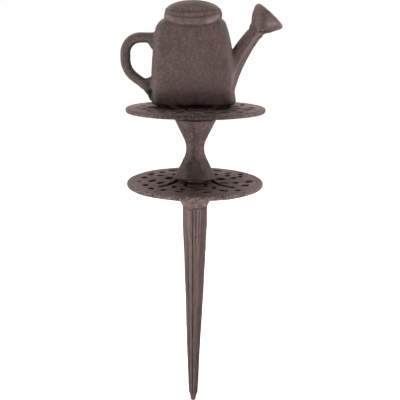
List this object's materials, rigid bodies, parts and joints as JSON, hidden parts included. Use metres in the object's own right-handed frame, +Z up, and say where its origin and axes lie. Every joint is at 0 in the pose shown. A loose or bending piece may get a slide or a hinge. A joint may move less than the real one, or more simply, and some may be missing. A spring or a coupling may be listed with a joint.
{
  "type": "hose guide stake",
  "caption": "Cast iron garden hose guide: two pierced discs with an hourglass roller between them, on a crossed-blade ground spike, topped by a watering can finial.",
  "frame": {"origin": "on the centre axis, at the underside of the lower disc, which lies at soil level", "axes": "+Z up along the rod, front towards -Y, the can's spout towards +X and its handle towards -X"},
  "size_m": [0.1358, 0.12, 0.3721],
  "materials": {
    "brown_iron": "dull brown paint on rough cast iron",
    "zinc_steel": "zinc plated, satin",
    "brass": "plain turned brass"
  },
  "bodies": {
    "stake": {"ground_spike": "brown_iron", "lower_disc": "brown_iron", "lower_disc_washer": "zinc_steel", "lower_disc_nut": "zinc_steel", "lower_thrust_washer": "brass", "upper_thrust_washer": "brass", "upper_disc_nut": "zinc_steel", "upper_disc_washer": "zinc_steel", "upper_disc": "brown_iron", "centre_rod": "zinc_steel", "watering_can": "brown_iron"},
    "roller": {"hose_roller": "brown_iron"}
  },
  "joints": [
    {"name": "roller_spin", "type": "hinge", "parent": "stake", "child": "roller", "pos_m": [0, 0, 0.03295], "axis": [0, 0, 1], "continuous": true}
  ]
}
